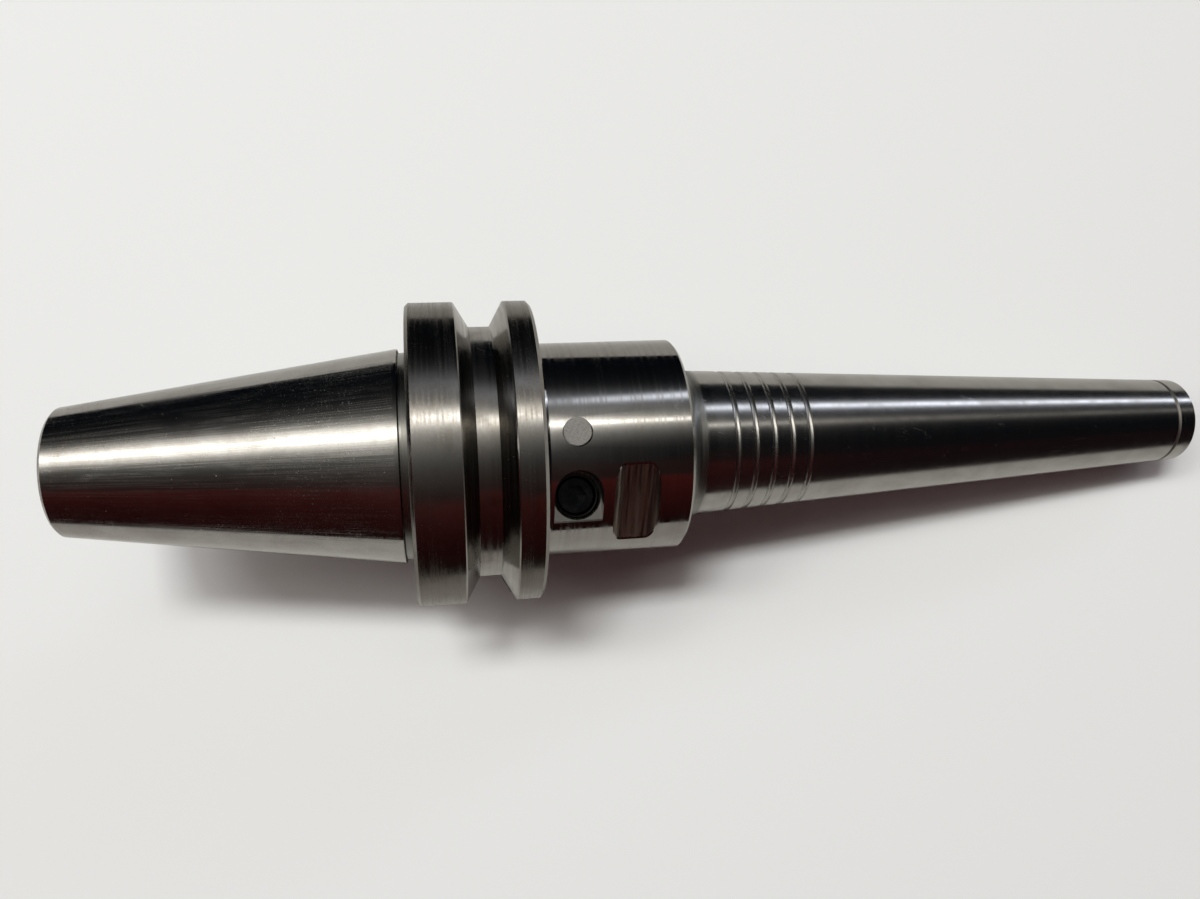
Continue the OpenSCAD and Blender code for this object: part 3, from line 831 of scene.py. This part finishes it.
def socket_and_wall(crest, chamfer, top, bottom, pitch, hexagon, socket_depth):
    socket = [ring(hexagon, top - socket_depth, True), ring(hexagon, top, True)]
    return socket + [ring(crest - chamfer, top)] + wall(crest, top - chamfer, bottom, pitch)


print("clamp screw from", *ends("clamp_screw", "Z"), "mm")

# %% [markdown]
# The clamp screw is M8 by 1, with a hex socket of 4 mm and a cup below for the thrust ball. The
# set screw over the fill ball is M5 by 0.8, with a socket of 2.5 mm. Both stand upright. Crests
# are 0.05 mm inside the thread's full radius, as in the model.

# %% The clamp screw and the fill screw
CHAMFER = 0.5
CLAMP_CREST = 3.95
CUP_RADIUS = 1.77
CUP_RIM = 1.4934
CUP_DEGREES = (65.0, 73.0, 81.0, 87.0)
FILL_CREST = 2.45
FILL_AXIS = (33.8, 2.1)

foot, top = ends("clamp_screw", "Z")
cup_centre = sum(ends("thrust_ball", "Z")) / 2
clamp_rings = socket_and_wall(
    CLAMP_CREST, CHAMFER, top, foot + CHAMFER, pitch=1.0, hexagon=2.0, socket_depth=3.4
)
clamp_rings += [ring(CLAMP_CREST - CHAMFER, foot), ring(CUP_RIM, foot)]
for up in map(math.radians, CUP_DEGREES):
    clamp_rings.append(ring(CUP_RADIUS * math.cos(up), cup_centre + CUP_RADIUS * math.sin(up)))
threaded_piece(
    "clamp_screw",
    "clamp_screw",
    Matrix.Translation((PORT_AXIS[0] * MM, PORT_AXIS[1] * MM, 0.0)),
    clamp_rings,
    {
        "Crest Radius": CLAMP_CREST,
        "Depth": 0.6,
        "Pitch": 1.0,
        "Start": foot + CHAMFER,
        "End": top - CHAMFER,
    },
)

foot, top = ends("fill_screw", "Z")
fill_rings = socket_and_wall(
    FILL_CREST, CHAMFER, top, foot + CHAMFER, pitch=0.8, hexagon=1.25, socket_depth=2.0
)
fill_rings.append(ring(FILL_CREST - CHAMFER, foot))
threaded_piece(
    "fill_screw",
    "chuck",
    Matrix.Translation((FILL_AXIS[0] * MM, FILL_AXIS[1] * MM, 0.0)),
    fill_rings,
    {
        "Crest Radius": FILL_CREST,
        "Depth": 0.48,
        "Pitch": 0.8,
        "Start": foot + CHAMFER,
        "End": top - CHAMFER,
    },
)

# %% [markdown]
# The adjusting screw is M10 by 1, with a hex socket of 5 mm, a groove for its seal ring near the
# lower end and a 3 mm hole right through, so its stack closes on itself. It lies along X.

# %% The adjusting screw
STOP_CREST = 4.95
STOP_CHAMFER = 0.6
STOP_SOCKET_DEPTH = 5.0
HOLE_RADIUS = 1.5
SEAL_GROOVE_RADIUS = 3.45
SEAL_GROOVE = (1.75, 3.45)
THREAD_START = 3.8

foot, top = ends("stop_screw", "X")
lower, upper = (foot + edge for edge in SEAL_GROOVE)
stop_rings = [ring(HOLE_RADIUS, top - STOP_SOCKET_DEPTH)]
stop_rings += socket_and_wall(
    STOP_CREST, STOP_CHAMFER, top, upper, pitch=1.0, hexagon=2.5, socket_depth=STOP_SOCKET_DEPTH
)
stop_rings += [ring(SEAL_GROOVE_RADIUS, upper), ring(SEAL_GROOVE_RADIUS, lower)]
stop_rings += [ring(STOP_CREST, lower), ring(STOP_CREST, foot + STOP_CHAMFER)]
stop_rings += [ring(STOP_CREST - STOP_CHAMFER, foot), ring(HOLE_RADIUS, foot)]
threaded_piece(
    "stop_screw",
    "stop_screw",
    Matrix.Rotation(math.pi / 2, 4, "Y"),
    stop_rings,
    {
        "Crest Radius": STOP_CREST,
        "Depth": 0.6,
        "Pitch": 1.0,
        "Start": foot + THREAD_START,
        "End": top - STOP_CHAMFER,
    },
    closed=True,
)

# %% [markdown]
# ## The floor
#
# The chuck lies on its flange and on the tip of its nose. Its own frame has the axis level, so
# the table under it is the plane that touches both, about eight degrees from level. The floor
# is one flat face, plain and pale, and clear from below so that it never hides the chuck. Far
# off it fades to a flat pale tone, so that a low camera sees no edge. The steel mirrors it a
# little darker than it is, as the photograph shows.

# %% Floor
FLANGE_TOUCH = (26.3, -31.5)
NOSE_TOUCH = (179.5, -9.53)
FLOOR_HALF = 4000.0
PALE = (0.80, 0.81, 0.80)
MIRRORED_PALE = (0.62, 0.61, 0.58)
FADE_START = 350.0
FADE_END = 1100.0
slope = (NOSE_TOUCH[1] - FLANGE_TOUCH[1]) / (NOSE_TOUCH[0] - FLANGE_TOUCH[0])


def floor_height(x):
    return FLANGE_TOUCH[1] + slope * (x - FLANGE_TOUCH[0])


def lay(name, near, far, lift=0.0):
    edges = ((-FLOOR_HALF, near), (FLOOR_HALF, near), (FLOOR_HALF, far), (-FLOOR_HALF, far))
    corners = [(x * MM, y * MM, (floor_height(x) + lift) * MM) for x, y in edges]
    mesh = bpy.data.meshes.new(name)
    mesh.from_pydata(corners, [], [(0, 1, 2, 3)])
    laid = bpy.data.objects.new(name, mesh)
    bpy.context.scene.collection.objects.link(laid)
    paint = bpy.data.materials.new(name + " paint")
    paint.use_nodes = True
    mesh.materials.append(paint)
    return paint.node_tree


tree = lay("floor", -FLOOR_HALF, FLOOR_HALF)
shader = tree.nodes["Principled BSDF"]
floor_colour = tint(tree, ray_is(tree, "Glossy"), PALE, MIRRORED_PALE)
tree.links.new(floor_colour, shader.inputs["Base Color"])
shader.inputs["Roughness"].default_value = 0.7
shader.inputs["Specular IOR Level"].default_value = 0.2
how_far = add(tree, "ShaderNodeVectorMath", {0: object_place(tree)}, operation="LENGTH")
faded = ramp(tree, how_far.outputs["Value"], FADE_START * MM, FADE_END * MM)
horizon = add(tree, "ShaderNodeEmission", {"Color": opaque(PALE), "Strength": 1.0}).outputs[0]
surface = blend(tree, times(tree, faded, ray_is(tree, "Camera")), shader.outputs[0], horizon)
under = add(tree, "ShaderNodeNewGeometry").outputs["Backfacing"]
clear = add(tree, "ShaderNodeBsdfTransparent").outputs[0]
surface = blend(tree, under, surface, clear)
tree.links.new(surface, tree.nodes["Material Output"].inputs["Surface"])
print("floor slope in degrees:", round(math.degrees(math.atan(slope)), 2))

# %% [markdown]
# ## Two dark cards
#
# Product photographers lay black card just outside the picture, so that bright metal gets a
# dark edge. One lies beyond the chuck's far side, and a dark red one takes over from the pale
# table in front. Only mirrored rays see them: to the camera, and to the light that falls on the
# floor, they are clear.

# %% Dark cards
CARD_LIFT = 1.0
for name, near, far, colour in (
    ("dark_card", 128.0, 3900.0, (0.004, 0.006, 0.009)),
    ("near_card", -3900.0, -265.0, (0.019, 0.006, 0.005)),
):
    tree = lay(name, near, far, CARD_LIFT)
    tree.nodes.remove(tree.nodes["Principled BSDF"])
    dark = add(tree, "ShaderNodeEmission", {"Color": opaque(colour), "Strength": 1.0}).outputs[0]
    clear = add(tree, "ShaderNodeBsdfTransparent").outputs[0]
    surface = blend(tree, ray_is(tree, "Glossy"), clear, dark)
    tree.links.new(surface, tree.nodes["Material Output"].inputs["Surface"])
    print(name, "from", near, "to", far, "mm")

# %% [markdown]
# ## The light
#
# Polished steel has hardly a look of its own: it shows the room. The work is split in two. Three
# soft lamps light the floor and cast the shadows: the main one stands high up, beyond the chuck
# and past its taper, a weaker one farther out that way, and a faint broad one lower down past
# the taper's end. Mirrored rays don't see them. What the steel mirrors is painted on the world,
# further down.

# %% Lamps
LAMP_HEIGHT = 1.5
LAMP_SIZE = (0.5, 0.2)
LAMP_WHITE = (0.98, 1.0, 1.0)
LAMP_AIM = Vector((0.03, 0.0, 0.0))


def area_lamp(name, centre, size, colour, radiance):
    data = bpy.data.lights.new(name, "AREA")
    data.shape = "RECTANGLE"
    data.size, data.size_y = size
    data.color = colour
    data.energy = radiance * math.pi * size[0] * size[1]
    lamp = bpy.data.objects.new(name, data)
    bpy.context.scene.collection.objects.link(lamp)
    backward = -(LAMP_AIM - centre).normalized()
    upward = backward.cross(Vector((1.0, 0.0, 0.0))).normalized()
    across = upward.cross(backward).normalized()
    facing = Matrix((across, upward, backward)).transposed().to_4x4()
    lamp.matrix_world = Matrix.Translation(centre) @ facing
    lamp.visible_glossy = False
    print(name, "power in watts:", round(data.energy, 1))


for name, x, lean_degrees, radiance in (
    ("overhead lamp", -0.45, 22.5, 47.5),
    ("second lamp", -1.1, 26.0, 19.3),
):
    y = LAMP_HEIGHT * math.tan(math.radians(lean_degrees))
    area_lamp(name, Vector((x, y, LAMP_HEIGHT)), LAMP_SIZE, LAMP_WHITE, radiance)
area_lamp("end lamp", Vector((-1.35, 0.25, 0.95)), (0.9, 0.7), (1.0, 0.98, 0.94), 1.2)

# %% [markdown]
# ## The room that the steel mirrors
#
# The room is a dim studio, painted on the world by two numbers of a ray's direction: its lean
# from straight up towards the far side, in degrees, and its share along X, from -1 to 1. `bell`
# is a soft band at one lean, and `by_share` lets a value change from one end of the room to the
# other.

# %% World: two numbers of a ray
world = bpy.data.worlds.new("studio")
bpy.context.scene.world = world
world.use_nodes = True
tree = world.node_tree
ray = add(tree, "ShaderNodeTexCoord").outputs["Generated"]
way = add(tree, "ShaderNodeSeparateXYZ", {0: ray}).outputs
lean = times(tree, math_of(tree, "ARCTAN2", way["Y"], way["Z"]), 180 / math.pi)


def by_share(start, end, low=0.0, high=1.0):
    return ramp(tree, way["X"], start, end, low, high)


def bell(middle, width):
    off = over(tree, minus(tree, lean, middle), width)
    return math_of(tree, "EXPONENT", times(tree, times(tree, off, off), -1.0))


print("world:", world.name)

# %% [markdown]
# A broad lamp gives the white band along the taper and the flange. It is a bright core in a soft
# glow that dies away on both sides. Towards the nose it fades out, but a thin line in its middle
# runs on farther.

# %% World: the broad lamp
GLOW_LEAN = 22.0
FAR_REACH = -9.5
to_far = larger(tree, minus(tree, lean, GLOW_LEAN), 0.0)
to_near = larger(tree, minus(tree, GLOW_LEAN, lean), 0.0)
near_reach = plus(tree, by_share(-0.1, 0.3, -14.0, -7.2), by_share(-0.5, -0.15, 3.5, 0.0))
drop = plus(tree, over(tree, to_far, FAR_REACH), over(tree, to_near, near_reach))
strength = times(tree, by_share(0.1, 0.48, 1.65, 0.03), by_share(-0.4, -0.05, 1.25, 1.0))
glow = times(tree, math_of(tree, "EXPONENT", drop), strength)
core_middle = by_share(-0.5, 0.0, 21.5, 24.3)
core_width = by_share(-0.5, 0.0, 11.0, 5.4)
core = times(tree, bell(core_middle, core_width), by_share(0.06, 0.26, 2.5, 0.25))
thin_line = times(tree, bell(23.0, 2.0), by_share(0.3, 0.58, 2.2, 0.04))
glow = plus(tree, plus(tree, glow, core), thin_line)
print("broad lamp at", GLOW_LEAN, "degrees")

# %% [markdown]
# A narrow bluish strip, lower down on the far side, gives the thin band along the nose. It starts
# where the broad lamp fades, grows brighter towards the tip, and has a haze round it.

# %% World: the narrow strip
HAZE_LEAN = 47.0
HAZE_WIDTH = 10.0
strip_middle = by_share(0.1, 0.56, 47.5, 55.0)
strip_width = by_share(0.15, 0.55, 3.8, 4.0)
strip_core = times(tree, bell(strip_middle, strip_width), by_share(0.1, 0.58, 1.0, 5.0))
strip_core = times(tree, strip_core, by_share(0.05, 0.18))
strip_haze = times(tree, bell(HAZE_LEAN, HAZE_WIDTH), by_share(0.1, 0.5, 0.30, 0.11))
strip_haze = times(tree, strip_haze, by_share(-0.25, 0.0))
strip = plus(tree, strip_core, strip_haze)
print("strip's haze at", HAZE_LEAN, "degrees")

# %% [markdown]
# Dim walls give the black between the lights: bluish on the far side and brownish on the near
# one. Low down on the near side a dark red wall gives the red band under the white ones, and it
# fades downwards.

# %% World: the walls
FAR_WALL = (0.004, 0.0055, 0.008)
NEAR_WALL = (0.030, 0.016, 0.015)
RED_WALL = (0.018, 0.005, 0.005)
near_side = times(tree, ramp(tree, lean, -8.0, -24.0), by_share(0.3, 0.5, 1.0, 0.1))
walls = tint(tree, near_side, FAR_WALL, NEAR_WALL)
red_edge = times(tree, ramp(tree, lean, -34.0, -39.0), by_share(0.3, 0.5, 1.0, 0.15))
walls = tint(tree, red_edge, walls, RED_WALL)
red_fade = math_of(tree, "EXPONENT", over(tree, plus(tree, lean, 38.0), 30.0))
red_fade = times(tree, red_fade, red_edge)
print("walls:", FAR_WALL, NEAR_WALL, RED_WALL)

# %% [markdown]
# The lights and the walls are added up. Light that falls on the floor takes a dim, even fill in
# place of the painted room, so that the lamps alone shape its shadows. The camera sees a plain
# pale backdrop.

# %% World: add it all up
LAMP_LIGHT = (1.0, 0.97, 0.92)
STRIP_LIGHT = (0.82, 0.87, 1.0)
RED_LIGHT = (0.065, 0.010, 0.009)
SOFT_FILL = (0.052, 0.024, 0.027)


def shining(colour, strength=1.0):
    inputs = {"Color": opaque(colour), "Strength": strength}
    return add(tree, "ShaderNodeBackground", inputs).outputs[0]


def both(first, second):
    return add(tree, "ShaderNodeAddShader", {0: first, 1: second}).outputs[0]


lights = both(shining(LAMP_LIGHT, glow), shining(STRIP_LIGHT, strip))
room = both(lights, both(shining(walls), shining(RED_LIGHT, red_fade)))
room = blend(tree, ray_is(tree, "Diffuse"), room, shining(SOFT_FILL))
shown = blend(tree, ray_is(tree, "Camera"), room, shining(PALE))
tree.links.new(shown, tree.nodes["World Output"].inputs["Surface"])
print("nodes in the world:", len(tree.nodes))
